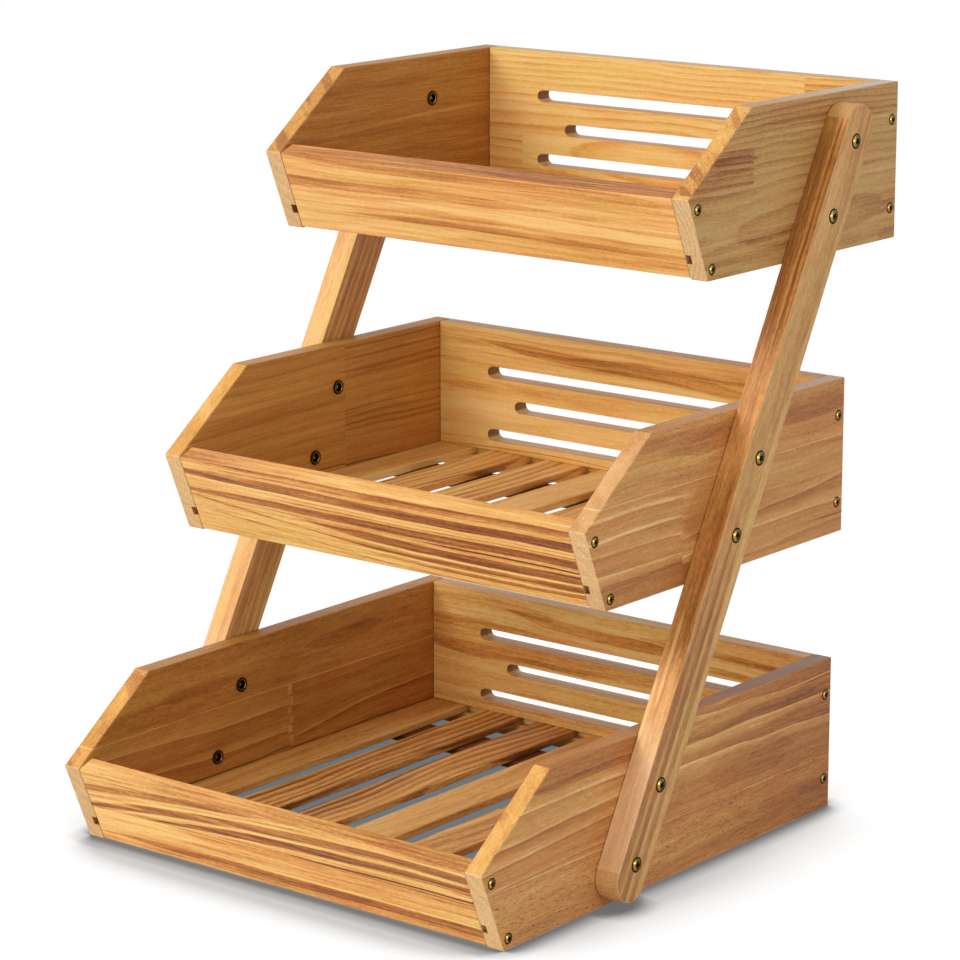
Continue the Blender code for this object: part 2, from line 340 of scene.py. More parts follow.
def edge_tone(g, run, height, edges):
    """Ring edges: a pale line whose dark side fades away below it, or above it if reach is under 0.

    Each is (start, stop, height, slope, curve, reach, tone), in mm.
    """
    total = 0.0
    for start, stop, level, slope, bow, reach, tone in edges:
        across = g.minus(line_height(g, run, level, slope, bow), height)
        step = g.curve(g.affine(across, 0.5 / reach, 0.5), edge_profile)
        from_middle = g.distance(run, (start + stop) / 2)
        ends = g.affine(from_middle, -8.0 / (stop - start), 4.0, True)
        total = g.affine(g.times(g.minus(step, edge_zero), ends), 2 * tone, total)
    return total


def along_curve(g, run, tones):
    """A tone read off (place, tone) pairs along the board."""
    first, last = tones[0][0], tones[-1][0]
    reach = g.math("DIVIDE", g.minus(run, first), last - first)
    points = [((place_mm - first) / (last - first), 0.5 + tone) for place_mm, tone in tones]
    return g.minus(g.curve(reach, points), 0.5)


def dress(node_name, origin, along, face, seed, **changes):
    """Give a board's solid its pine: growth rings round a pith line, cut wherever its faces are.

    The grain's X runs along the board from the origin, its Y into the face and its Z up the rise.
    """
    look = {**wood_defaults, **looks.get(node_name, {}), **changes}
    along, face = Vector(along), Vector(face)
    upwards = along.cross(face)
    turn = Matrix((along, face, upwards)).transposed().to_euler()
    g = Graph(bpy.data.materials.new(node_name.replace("_board", "") + "_wood"))

    def noise(kind, at, colour=False):
        scales, shift, detail, roughness = grain_noises[kind]
        return g.noise(g.stretch(at, scales, seed + shift), detail, roughness, colour)

    def sway(noise_colour, size):
        """A noise as a move across the grain, to either side."""
        centred = g.vector("SUBTRACT", noise_colour, (0.5, 0.5, 0.5))
        return g.vector("MULTIPLY", centred, (0, 4.0 * size, 4.0 * size))

    places = g.node("TexCoord").outputs
    normal = places["Normal"]
    feeds = {"Vector": places["Object"], "Location": tuple(origin), "Rotation": turn, "Scale": (0.001,) * 3}
    board_point = g.node("Mapping", feeds, vector_type="TEXTURE").outputs["Vector"]
    run = g.axis(board_point, "X")
    point = board_point
    if look["joints"]:
        point, block_tone = finger_joints(g, board_point, look["joints"])

    # Slow bends and quicker wobbles push the grain about as it runs along the board
    bend_point = g.stretch(point, (look["bend_rate"], 0.012, 0.012), seed)
    bend = sway(g.noise(bend_point, 1.0, 0.5, True), look["bend"])
    wobble = sway(noise("wobble", point, True), look["wobble"])
    grain_point = g.vector("ADD", g.vector("ADD", point, bend), wobble)
    # The grain's own rise or fall along the board, taken off its height
    slope, curve = look["bow"]
    level = g.node("CombineXYZ", {2: g.times(run, g.affine(run, curve, slope))})
    grain_point = g.vector("SUBTRACT", grain_point, level.outputs[0])

    # Growth rings, each as strong as chance makes it
    from_pith = g.vector("SUBTRACT", grain_point, (0, *look["pith"]))
    pith_distance = g.vector("LENGTH", g.vector("MULTIPLY", from_pith, (0, 1, 1)))
    phase = g.math("DIVIDE", pith_distance, look["ring"])
    ring_chance = g.chance(g.plus(g.math("FLOOR", phase), seed + 0.5))
    fade = noise("fade", point)
    steady = look["steady"]
    ring_share = g.affine(ring_chance, 1.0 - steady, steady)
    patch_share = g.affine(fade, 2.6 - 1.6 * steady, 1.2 * steady - 0.5, True)
    end_late = g.times(g.curve(g.math("FRACT", phase), ring_profile), ring_share)
    late = g.times(end_late, patch_share)

    # Bands, streaks, fibres and short marks
    tone = g.affine(late, look["late"], look["base"])
    tone = g.affine(g.minus(noise("broad", grain_point), 0.5), 2 * look["broad"], tone)
    tone = g.affine(g.minus(noise("streak", grain_point), 0.5), look["streak"], tone)
    fibre = noise("fibre", grain_point)
    tone = g.affine(g.minus(fibre, 0.5), look["fibre"], tone)
    tone = g.affine(g.minus(noise("grit", point), 0.5), look["grit"], tone)
    if look["mottle"]:
        tone = g.affine(g.minus(noise("mottle", point), 0.5), look["mottle"], tone)
    if look["hairs"]:
        # Hair-thin dark lines that run far along the grain
        tone = g.affine(g.smooth(noise("hairs", grain_point), *hair_range), look["hairs"], tone)

    # Which way the surface faces tells the board's ends, its upper edge and its sawn corner apart
    share = g.affine(fade, 1.1, 0.45, True)
    if look["rise_tones"]:
        facing = g.smooth(g.vector("DOT_PRODUCT", normal, upwards), *rise_facing)
        share = g.times(share, g.minus(1.0, facing))
    if look["clip"]:
        on_clip = g.smooth(g.vector("DOT_PRODUCT", normal, clip_facing), *clip_range)
        share = g.times(share, g.minus(1.0, on_clip))
    unbowed = g.vector("ADD", g.vector("ADD", board_point, bend), wobble)
    for lines, tone_of in ((look["marks"], mark_tone), (look["edges"], edge_tone)):
        if lines:
            tone = g.affine(tone_of(g, run, g.axis(unbowed, "Z"), lines), share, tone)
    if look["run_tones"]:
        tone = g.plus(tone, along_curve(g, run, look["run_tones"]))
    if look["joints"]:
        tone = g.plus(tone, block_tone)
    if look["flecks"]:
        # Resin canals: short dark dashes along the grain, in patches
        in_zone = g.within(g.axis(board_point, "Z"), *look["fleck_zone"])
        in_patch = g.times(in_zone, g.smooth(noise("patch", point), *patch_range))
        fleck_mask = g.times(g.smooth(noise("dash", point), *dash_range), in_patch)
        tone = g.affine(fleck_mask, look["flecks"], tone)
    end_grain = g.smooth(g.math("ABSOLUTE", g.vector("DOT_PRODUCT", normal, along)), *look["end_range"])
    # Where an edge is eased it is painted paler in patches, as wear and as a painted highlight
    across = g.axis(g.vector("MULTIPLY", normal, normal), "X")
    eased = g.times(g.times(across, g.minus(1.0, across)), 4.0)
    tone = g.affine(g.times(eased, noise("wear_and_highlight", point)), -0.25, tone)
    if look["rise_tones"]:
        # The face that looks up the board's rise is toasted by its own amount along the board
        tone = g.affine(facing, along_curve(g, run, look["rise_tones"]), tone)
    if look["rise_marks"]:
        inward = g.axis(g.vector("ADD", board_point, wobble), "Y")
        tone = g.affine(facing, mark_tone(g, run, inward, look["rise_marks"]), tone)
    if look["glue_lines"]:
        glue = glue_mask(g, board_point, look["glue_lines"])
        tone = g.affine(glue, look["glue_tone"], tone)

    # From tone to colour
    colour = g.palette(tone, look["colours"])
    if look["rise_colours"]:
        low, high = (g.palette(tone, shades) for shades in look["rise_colours"])
        colour = g.blend(facing, colour, g.blend(g.smooth(run, *low_leg_run), low, high))
    colour = g.blend(look["drift"], colour, g.ramp(noise("drift", point), drift_hues), "MULTIPLY")
    end_pale, end_dark, end_ring = (
        linear(*[part * value for value in look["end_tint"]]) for part in (1.0, 0.86, 0.70)
    )
    end_colour = g.blend(g.smooth(noise("speckle", point), *speckle_range), end_dark, end_pale)
    end_colour = g.blend(g.times(end_late, 0.30), end_colour, end_ring)
    if look["clip"]:
        # The sawn corner is lighter and more golden than the panel's faces
        slant = g.node("Mapping", {"Vector": point, "Rotation": (0, 0, 0.6)}).outputs[0]
        streaks = g.times(g.smooth(noise("sawn", slant), *sawn_range), look["clip_streaks"])
        clip_tone = g.minus(g.plus(tone, streaks), 0.08)
        clip_tone = g.affine(late, -0.75 * look["late"], clip_tone)
        colour = g.blend(g.times(on_clip, 0.85), colour, g.palette(clip_tone, look["clip"]))
    colour = g.blend(g.times(end_grain, look["end_mix"]), colour, end_colour)
    if look["cool_mix"]:
        # Painted sheen and shade: edges that face up are painted a little greyer towards the back
        up_facing_sheen = g.smooth(g.axis(normal, "Z"), *sheen_facing)
        cool = g.times(g.times(up_facing_sheen, g.smooth(run, *look["cool_run"])), look["cool_mix"])
        colour = g.blend(cool, colour, linear(*look["cool_edge"]))
    g.give("Base Color", colour)

    # Duller in the fibres and on the end grain, smoother on the late wood
    gloss = g.affine(end_grain, 0.14, g.affine(fibre, 0.26, 0.36))
    g.give("Roughness", g.affine(late, -0.05, gloss))
    g.give("IOR", 1.45)
    g.give("Specular IOR Level", 0.38)
    relief = g.affine(late, 0.25, g.times(fibre, 0.8))
    if look["flecks"]:
        relief = g.affine(fleck_mask, -0.5, relief)
    if look["glue_lines"]:
        relief = g.affine(glue, -0.4, relief)
    g.bump(relief, 0.25, 0.0004)
    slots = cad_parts[node_name].data.materials
    if not slots:
        slots.append(g.owner)
    for index in range(len(slots)):
        slots[index] = g.owner


# The boards' own looks, by node: how the rings lie and how toasted the wood is. Joints are
# blocks by (start, stop, low, high, darkening) in mm, and glue lines (start, stop, height, slope).
looks = {}
looks["top_front_board"] = dict(
    colours=top_front_pine, ring=9, late=0.14, broad=0.26, streak=0.9, base=0.31, bow=(-0.012, 0), bend=1.6,
    rise_tones=[(-190, 0.28), (-60, 0.36), (100, 0.5), (190, 0.46)],
    marks=[
        (-230, 230, 62, -0.012, 0, 4.2, 0.26), (-260, 80, 43, -0.01, 0, 4.2, 0.26),
        (-90, 260, 33, -0.027, 0, 4.2, -0.26), (-150, 240, 19, -0.013, 0, 2.2, 0.3),
        (-230, -10, 11, 0, 0, 6, -0.1), (-230, -40, 56.5, -0.01, 0, 2.4, -0.16),
        (80, 230, 46, 0, 0, 7, -0.1), (-120, 180, 25.5, -0.01, 0, 1.2, 0.14),
        (-60, 230, 8, 0.005, 0, 2, 0.1),
    ],
)
looks["middle_front_board"] = dict(
    colours=front_pine, ring=6, late=0.18, steady=0.2, broad=0.22, streak=0.8, hairs=0.12, base=0.25,
    bow=(-0.008, 0), bend=1.4, rise_tones=[(-190, 0.22), (-100, 0.1), (60, -0.04), (190, -0.1)],
    run_tones=[(-200, -0.05), (-60, -0.03), (200, 0.06)],
    marks=[
        (-230, 260, 63.2, -0.004, 0, 3.2, 0.3), (-230, -90, 61.5, -0.006, 0, 0.8, -0.24),
        (-260, 290, 52.9, -0.01, 0, 4, 0.52), (-250, 260, 48.1, -0.01, 0, 0.9, -0.24),
        (-200, 260, 44.6, -0.006, 0, 0.8, -0.2), (-150, 240, 42.8, -0.006, 0, 0.6, 0.2),
        (-230, 290, 37.4, -0.003, 0, 3.3, 0.44), (20, 240, 31.8, -0.01, 0, 0.7, 0.75),
        (-120, 10, 30.1, -0.023, 0, 0.5, 0.36), (-90, 290, 25.8, -0.046, 0.00019, 3.5, 0.42),
        (-120, 250, 21.2, -0.046, 0.00019, 0.9, -0.22), (-70, 280, 17.4, -0.046, 0.00019, 2.6, 0.34),
        (-60, 250, 14.1, -0.046, 0.00019, 0.8, -0.2), (-40, 260, 11.6, -0.046, 0.00019, 1.8, 0.3),
        (-220, 30, 16.6, -0.06, 0.00017, 0.9, 0.3), (-170, 20, 5.3, -0.095, 0, 0.8, 0.26),
        (-140, 120, 5, -0.03, 0, 1, 0.22),
    ],
)
looks["bottom_front_board"] = dict(
    colours=front_pine, ring=5, late=0.18, steady=0.2, broad=0.2, streak=0.8, hairs=0.14, base=0.28,
    bow=(0.01, 0), bend=1.4, rise_tones=[(-190, 0.06), (0, 0.14), (190, 0.24)],
    run_tones=[(-200, -0.1), (-80, 0), (200, 0.05)],
    marks=[
        (-230, 30, 67.8, 0.085, 0, 3, 0.32), (-230, 80, 63.2, 0.075, -0.0001, 0.8, -0.24),
        (-240, 280, 59.6, 0.062, -0.00024, 1.1, -0.28), (-230, 290, 54.6, 0.062, -0.00024, 3.4, 0.36),
        (-230, 260, 49.6, 0.062, -0.00024, 1.1, -0.28), (-130, 290, 44.8, 0.06, -0.00024, 3.2, 0.42),
        (-150, 240, 40.3, 0.045, -0.0002, 1, -0.26), (-230, -60, 47.5, 0.06, 0, 1.6, 0.24),
        (0, 240, 37.4, 0.008, 0, 0.7, 0.7), (50, 240, 35.2, 0.004, 0, 0.5, 0.44),
        (-230, 0, 33.4, 0.002, 0, 0.45, 0.34), (-60, 240, 27.5, 0.002, 0, 0.6, -0.18),
        (-20, 240, 22, 0, 0, 0.6, -0.16), (-60, 240, 24.8, 0, 0, 0.8, 0.16),
        (-90, 240, 15.8, 0.002, 0, 0.8, -0.24), (-190, 290, 10.6, 0.004, 0, 3.6, 0.4),
        (-260, -70, 25, 0, 0, 8, -0.14),
    ],
)
looks["top_back_board"] = dict(
    colours=back_pine, pith=(60, 40), ring=3.6, late=0.42, steady=0.5, broad=0.24, streak=0.4, bend=2.4,
    wobble=0.4, base=0.17, run_tones=[(-200, -0.08), (-110, -0.02), (0, 0), (200, 0)],
    joints=[(125, 190, 92, 125, 0.16), (-200, -150, 26, 50, 0.04)],
)
looks["middle_back_board"] = dict(
    colours=back_pine, pith=(48, 60), ring=6, late=0.36, steady=0.2, broad=0.4, bend=4, base=0.265,
    marks=[
        (-150, 150, 101, -0.05, 0, 5, 0.3), (0, 140, 107, -0.02, 0, 2.6, 0.24),
        (-60, 130, 109.5, -0.03, 0, 1.4, -0.18), (-150, 120, 92, -0.03, 0, 1.6, -0.16),
        # The last mark is a painted shadow line where the slats meet the board
        (-190, -60, 70, 0.01, 0, 3, 0.12), (-260, 260, 19.6, 0, 0, 0.5, 0.5),
    ],
)
looks["bottom_back_board"] = dict(
    colours=back_pine, pith=(46, 80), ring=8, late=0.48, steady=0.3, broad=0.48, streak=0.8, grit=0.7,
    bend=4, base=0.22,
    marks=[
        (-110, 80, 103, -0.04, 0, 5, 0.38), (-80, 80, 110, -0.025, 0, 2, -0.22),
        (-60, 110, 95.5, -0.02, 0, 1.6, -0.2), (20, 210, 110, -0.03, 0, 3, 0.34),
        (60, 230, 96, -0.03, 0, 2.6, 0.34), (70, 230, 101, -0.03, 0, 1.4, -0.2),
        (90, 240, 88, -0.02, 0, 2.2, 0.3), (-120, 160, 70, 0, 0, 1.6, 0.16),
        # This mark is a painted shadow line where the slats meet the board
        (-260, 260, 19.6, 0, 0, 0.5, 0.5),
    ],
)
looks["top_side_right"] = dict(
    colours=top_side_pine, pith=(60, 30), ring=3.8, late=0.42, steady=0.4, broad=0.28, streak=0.35,
    base=0.24, bend=2.4, wobble=0.5, fibre=0.72, grit=0.75, drift=0.4,
    run_tones=[(-30, 0.06), (120, 0), (250, 0)],
    marks=[
        (0, 62, 82, 0, 0, 3, 0.28), (0, 60, 74, 0, 0, 1.8, 0.24), (60, 270, 106, -0.02, 0, 4, 0.2),
        (-20, 150, 20, 0.05, 0, 3, 0.24), (-20, 140, 10, 0.05, 0, 3, 0.18),
        (-20, 120, 26, 0.05, 0, 1.2, -0.2), (100, 260, 98, -0.015, 0, 1.2, -0.14),
        (110, 250, 60, -0.02, 0, 1.4, -0.12),
    ],
    joints=[
        (-30, 56, 64, 91, 0.18), (228, 260, 25, 37, 0.12), (227, 260, -5, 16, 0.14),
        (49, 118, 18, 29, 0.08),
    ],
)
looks["middle_side_right"] = dict(
    colours=side_pine, pith=(-150, 215), ring=8, late=0.08, broad=0.34, streak=0.24, fibre=0.46,
    mottle=0.16, drift=0.4, base=0.385, bend=2.4, bend_rate=0.009,
    run_tones=[(-30, 0), (180, 0.02), (300, 0.12)],
    marks=[
        (-40, 106, 67.6, 0, 0, 1.4, -0.24), (-40, 104, 52.2, 0, 0, 1.2, -0.26),
        (-40, 150, 10, -0.02, 0, 9, 0.3), (262, 340, 15.6, 0, 0, 0.5, 0.55),
        (60, 340, 101, 0.01, 0, 7, 0.12), (-30, 140, 94, 0, 0, 4, -0.12), (20, 150, 111, 0, 0, 5, 0.12),
        (-20, 140, 82, 0, 0, 4, 0.1), (92, 180, 50, 0, 0, 22, 0.1),
    ],
    edges=[
        (-60, 108, 65.6, 0, 0, 9, 0.1), (-60, 108, 50.6, 0, 0, 8, 0.13), (-60, 108, 41, -0.036, 0, 7, 0.18),
        (-60, 108, 27, -0.035, 0, -6, 0.18), (84, 150, 19.4, 0.17, 0, 7, 0.2),
        (84, 150, 5, 0.17, 0, 6, 0.2), (150, 360, 41.6, -0.061, 0.00026, 9, 0.2),
        (150, 360, 27.2, 0, 0, 8, 0.18), (140, 360, 2, 0.034, 0, 5, 0.16),
    ],
    joints=[(92, 320, -5, 75, 0.04)], glue_lines=[(-30, 320, 74.8, 0.0065)], flecks=0.75,
    fleck_zone=(75, 130),
)
looks["bottom_side_right"] = dict(
    colours=side_pine, pith=(-150, 215), ring=8, late=0.08, broad=0.36, streak=0.26, fibre=0.54, mottle=0.2,
    drift=0.4, base=0.4, bend=2.4, bend_rate=0.009, run_tones=[(-30, 0), (200, 0.03), (410, 0.3)],
    marks=[
        (0, 200, 112, -0.01, 0, 9, 0.26), (240, 360, 62, 0, 0, 13, 0.1), (366, 430, 105.3, 0, 0, 0.5, 0.55),
        (190, 420, 100, 0, 0, 4, 0.1), (150, 460, 22, 0, 0, 5, 0.08),
    ],
    edges=[
        (0, 190, 108.2, 0, 0, 5, 0.14), (-30, 180, 93.2, 0, 0, 9, 0.25),
        (-50, 180, 74.4, 0.021, 0, 8, 0.25), (-60, 170, 62, 0.025, 0, 8, 0.24),
        (-60, 150, 46, 0.02, 0, 3, 0.2), (190, 450, 160.6, -0.2785, 0.000367, -6, 0.2),
        (190, 460, 97.4, -0.01, 0, -9, 0.32), (180, 460, 87.4, -0.03, 0, -8, 0.3),
    ],
    glue_lines=[(-30, 420, 45, -0.006)], flecks=0.75, fleck_zone=(-10, 44),
)
looks["top_side_left"] = dict(
    colours=left_pine, pith=(-150, 220), ring=9, late=0.18, broad=0.34, streak=0.3, base=0.58, drift=0.3,
    marks=[
        (0, 260, 66, 0.05, 0, 1.6, -0.16), (20, 260, 40, 0.04, 0, 2, 0.12),
    ],
)
looks["middle_side_left"] = dict(
    colours=left_pine, pith=(-150, 240), ring=7, late=0.18, broad=0.3, streak=0.3, base=0.35,
    joints=[(168, 320, -5, 125, 0.02)],
    marks=[
        (150, 330, 114.5, 0, 0, 0.9, 0.36), (150, 330, 106.5, -0.004, 0, 1.1, 0.34),
        (150, 330, 95, 0.004, 0, 1.4, 0.34), (150, 330, 63, 0, 0, 0.9, 0.34),
        (150, 330, 57.5, -0.004, 0, 1.2, 0.34), (150, 330, 51, 0, 0, 0.8, 0.32),
        (150, 330, 45.5, 0.004, 0, 1, 0.32), (0, 190, 85, 0.01, 0, 1.4, -0.12), (0, 190, 60, 0, 0, 3, 0.12),
        # This mark is a painted shadow line where the slats meet the panel
        (-60, 360, 19.6, 0, 0, 0.6, 0.6),
    ],
)
looks["bottom_side_left"] = dict(
    colours=left_pine, pith=(-150, 220), ring=9, late=0.12, broad=0.36, streak=0.24, fibre=0.62, base=0.49,
    bend=2, bend_rate=0.009, mottle=0.3,
    marks=[
        # The last mark is a painted shadow line where the slats meet the panel
        (230, 330, 100, 0, 0, 6, 0.16), (60, 150, 92, 0, 0, 5, 0.14), (-60, 470, 19.6, 0, 0, 0.6, 0.6),
    ],
    edges=[
        (-60, 240, 60.5, -0.05, 0.0001, 7, 0.28), (-60, 240, 37, -0.02, 0, 7, 0.28),
        (206, 470, -34.6, 0.396, -0.00052, 8, 0.34), (200, 470, 66, 0, 0, 8, 0.1),
    ],
    joints=[
        (213, 420, -5, 72, 0.12), (211, 216, 64, 72, -0.36), (213, 217, 56, 62, -0.32),
        (211, 215, 48, 54, -0.36), (213, 217, 40, 46, -0.32), (211, 216, 32, 38, -0.36),
        (213, 217, 24, 30, -0.32),
    ],
    glue_lines=[(-30, 420, 73, 0)], glue_tone=-0.46, flecks=1.5, fleck_zone=(73, 130),
)
looks["leg_left"] = dict(
    pith=(-70, -50), ring=10, late=0.2, broad=0.26, streak=0.6, fibre=0.7, mottle=0.3, base=0.42, bend=2,
    run_tones=[(0, -0.26), (200, -0.24), (350, -0.04), (620, -0.04)],
    rise_tones=[(0, -0.14), (200, -0.13), (350, -0.32), (620, -0.24)],
    marks=[
        (-100, 700, 9, 0, 0, 3, 0.16), (-100, 700, 2, 0.003, 0, 1.6, 0.14),
        (-100, 700, -4, 0, 0, 2.6, 0.12), (-100, 700, -11, 0.002, 0, 2, 0.14),
        (-100, 700, 5.5, 0.001, 0, 0.8, -0.08), (-100, 700, -7.5, 0, 0, 0.8, -0.08),
    ],
)
looks["leg_right"] = dict(
    pith=(60, 80), ring=9, late=0.1, broad=0.3, streak=0.22, fibre=0.45, mottle=0.5, base=0.34, bend=2,
    run_tones=[
        (0, 0.11), (150, 0.06), (300, -0.02), (420, 0.04), (620, 0.04),
    ],
    marks=[
        (-200, 330, 3.4, 0, 0, 2.6, 0.24), (-200, 310, -6, 0, 0, 2.4, 0.26),
        (-200, 290, -1.2, 0, 0, 0.8, -0.14), (-200, 250, 12.5, 0, 0, 3.2, 0.2),
        (-200, 300, -13, 0, 0, 2.2, -0.08), (280, 640, 4, 0, 0, 3, -0.1), (300, 640, -9, 0, 0, 2, 0.1),
    ],
    rise_marks=[
        (360, 700, 13.8, -0.002, 0, 0.9, 0.14), (420, 700, 9.6, -0.004, 0, 1.2, -0.14),
        (370, 700, 6.8, -0.002, 0, 1, 0.16), (360, 700, 17.6, 0, 0, 1.6, 0.1),
        (420, 700, 3, 0, 0, 1.4, -0.1), (146, 222, 12.5, 0, 0, 1.6, -0.34),
        (122, 172, 18, 0, 0, 1.5, -0.28), (180, 330, 5, 0, 0, 2, 0.12),
    ],
    rise_tones=[
        (0, -0.2), (60, -0.29), (120, -0.34), (160, -0.17), (200, 0.14), (300, 0.22), (340, 0.08),
        (390, 0.12), (440, 0.22), (500, 0.29), (570, 0.27), (625, 0.08),
    ],
)

# What the boards share, and what goes by tier or by place
slat_bases = {"top": 0.19, "middle": 0.19, "bottom": 0.37}
slat_lates = [0.14, 0.52, 0.56, 0.16, 0.30, 0.46, 0.36]
slat_rings = [9.0, 7.4, 8.2, 12.0, 10.0, 7.0, 9.0]
slat_look = dict(
    colours=slat_pine, end_tint=(150, 100, 62), steady=0.50, broad=0.50, streak=0.45, fibre=0.62, hairs=0.10,
    drift=0.35, bend=7.0,
)
# Battens take the painted shade palette
shaded_batten_look = dict(colours=shaded_batten_pine, pith=(90.0, -40.0), late=0.15)
# Back boards take the painted sheen and shade on their up-facing faces along the whole board
back_look = dict(end_tint=(134, 88, 54), end_mix=0.85, cool_mix=0.45)
leg_look = dict(
    colours=leg_pine, rise_colours=(leg_low_pine, leg_front_pine), end_tint=(232, 176, 110), end_mix=0.80,
    end_range=(0.03, 0.16),
)
clip_streaks = {"top": 0.28, "middle": 0.12, "bottom": 0.22}
# Colours of the painted sheen and shade on up-facing edges, by tier
cool_edges = {"top": (216, 200, 190), "middle": (226, 198, 184), "bottom": (146, 118, 106)}
to_right = (1, 0, 0)
to_left = (-1, 0, 0)
to_back = (0, 1, 0)
into_front = (0, math.cos(front_angle), math.sin(front_angle))
up_leg = (0, math.sin(leg_angle), math.cos(leg_angle))
sides = (("left", -1), ("right", 1))

for tier_number, (tier, depth, setback, rise) in enumerate(tiers):
    front_y = setback - origin_setback
    inside_back_y = front_y + depth - board_thickness
    seed = 11.0 * tier_number
    dress(tier + "_front_board", (0, front_y, rise), to_right, into_front, seed + 1)
    dress(tier + "_back_board", (0, inside_back_y, rise), to_right, to_back, seed + 2, **back_look)
    for side_name, side in sides:
        name = tier + "_side_" + side_name
        clip = pale_clip_pine if name == "middle_side_right" else clip_pine
        dress(
            name, (side * crate_half_width, front_y, rise), to_back, to_left, seed + 4 + side,
            cool_run=(120.0 * depth, 1000.0 * depth), cool_mix=0.37 + 0.32 * side, cool_edge=cool_edges[tier],
            clip=clip, clip_streaks=clip_streaks[tier],
        )
    for number, (slat_late, slat_ring) in enumerate(zip(slat_lates, slat_rings)):
        name = tier + "_slat_" + str(number + 1)
        low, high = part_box(name)
        # A steady number from -5 to 5 for each slat, so that no two are alike
        lean = (number * 37) % 11 - 5
        dress(
            name, (low + high) / 2, to_back, to_left, seed + 6 + number * 0.73, pith=(120.0 + 9 * lean, 40.0),
            ring=slat_ring, late=slat_late, base=slat_bases[tier] + 0.014 * lean, bow=(0.006 * lean, 0.0),
            **slat_look,
        )
    for end in ("front", "rear"):
        name = tier + "_batten_" + end
        low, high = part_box(name)
        dress(name, (low + high) / 2, to_right, to_back, seed + 8, **shaded_batten_look)

for side_name, side in sides:
    foot = (side * leg_face_x, leg_setback - origin_setback, 0)
    dress("leg_" + side_name, foot, up_leg, to_left, 50.0 + side, **leg_look)


# How strong the painted gold highlight is from a head's middle to its rim, and where its painted rim shade
# starts
highlight_ring_profile = [(0.0, 0.0), (0.38, 0.10), (0.52, 0.85), (0.70, 0.85), (0.80, 0.0), (1.0, 0.0)]
rim_shade_range = (0.79, 0.86)
flange_rim_mm = 6.1
up_reflection_facing = (0.10, 0.40)
highlight_facing = (0.05, 0.32)
up_reflection_zinc = linear(84, 100, 50)
highlight_gold_zinc = linear(218, 168, 84)
rim_shade_zinc = linear(30, 22, 9)


def zinc(name, rim_mm, shades):
    """Yellow zinc, with a painted gold highlight where a head faces forward, a painted green reflection where
    it faces up, and painted shade at its rim.
    """
    g = Graph(bpy.data.materials.new(name))
    place = g.node("TexCoord").outputs["Object"]
    point = g.vector("MULTIPLY", place, (1000.0,) * 3)
    cloud = g.noise(g.stretch(point, (0.5, 0.5, 0.5), 3.0), 3.0, 0.6)
    fine = g.noise(g.stretch(point, (3.0, 3.0, 3.0), 8.0), 3.0, 0.7)
    colour = g.ramp(cloud, list(zip((0.30, 0.50, 0.70), [linear(*shade) for shade in shades])))
    if rim_mm:
        from_axis = g.vector("LENGTH", g.vector("MULTIPLY", point, (1, 1, 0)))
        outwards = g.math("DIVIDE", from_axis, rim_mm)
        # Painted highlight: a gold ring, shown where the head faces forward
        wear_and_highlight = g.curve(outwards, highlight_ring_profile)
        normal = g.node("NewGeometry").outputs["Normal"]
        # Painted reflection: green where the head faces up
        up_facing_sheen = g.smooth(g.axis(normal, "Z"), *up_reflection_facing)
        colour = g.blend(g.times(up_facing_sheen, 0.7), colour, up_reflection_zinc)
        forward_highlight = g.smooth(g.times(g.axis(normal, "Y"), -1.0), *highlight_facing)
        colour = g.blend(g.times(wear_and_highlight, forward_highlight), colour, highlight_gold_zinc)
        # Painted shade at the rim: dark and hardly reflective
        rim_shade = g.smooth(outwards, *rim_shade_range)
        colour = g.blend(g.times(rim_shade, 0.94), colour, rim_shade_zinc)
        g.give("Metallic", g.minus(1.0, rim_shade))
        g.give("Specular IOR Level", g.affine(rim_shade, -0.5, 0.5))
    else:
        g.give("Metallic", 1.0)
    g.give("Base Color", colour)
    g.give("Roughness", g.affine(fine, 0.12, 0.17))
    g.bump(fine, 0.08, 0.00008)
    return g.owner


def turned(profile, steps):
    """A closed body turned about Z from (radius, height) pairs that start and end on the axis."""
    shape = bmesh.new()
    rings = []
    for radius, height in profile:
        if radius == 0:
            rings.append([shape.verts.new((0, 0, height))])
            continue
        ring = []
        for step in range(steps):
            turn = 2 * math.pi * step / steps
            ring.append(shape.verts.new((radius * math.cos(turn), radius * math.sin(turn), height)))
        rings.append(ring)
    for lower, upper in zip(rings, rings[1:]):
        for step in range(steps):
            following = (step + 1) % steps
            corners = [lower[step % len(lower)], lower[following % len(lower)]]
            corners += [upper[following % len(upper)], upper[step % len(upper)]]
            unique = list(dict.fromkeys(corners))
            if len(unique) > 2:
                shape.faces.new(unique)
    bmesh.ops.recalc_face_normals(shape, faces=shape.faces)
    return shape


def prism(outline, bottom, top, top_scale=1.0):
    """A closed upright prism whose top outline may be larger or smaller than its foot."""
    shape = bmesh.new()
    lower = [shape.verts.new((x, y, bottom)) for x, y in outline]
    upper = [shape.verts.new((x * top_scale, y * top_scale, top)) for x, y in outline]
    shape.faces.new(lower[::-1])
    shape.faces.new(upper)
    for step in range(len(outline)):
        following = (step + 1) % len(outline)
        shape.faces.new((lower[step], lower[following], upper[following], upper[step]))
    bmesh.ops.recalc_face_normals(shape, faces=shape.faces)
    return shape


def mesh_object(name, shape):
    """An object in the scene from a shape, which is freed."""
    mesh = bpy.data.meshes.new(name)
    shape.to_mesh(mesh)
    shape.free()
    return new_object(name, mesh)


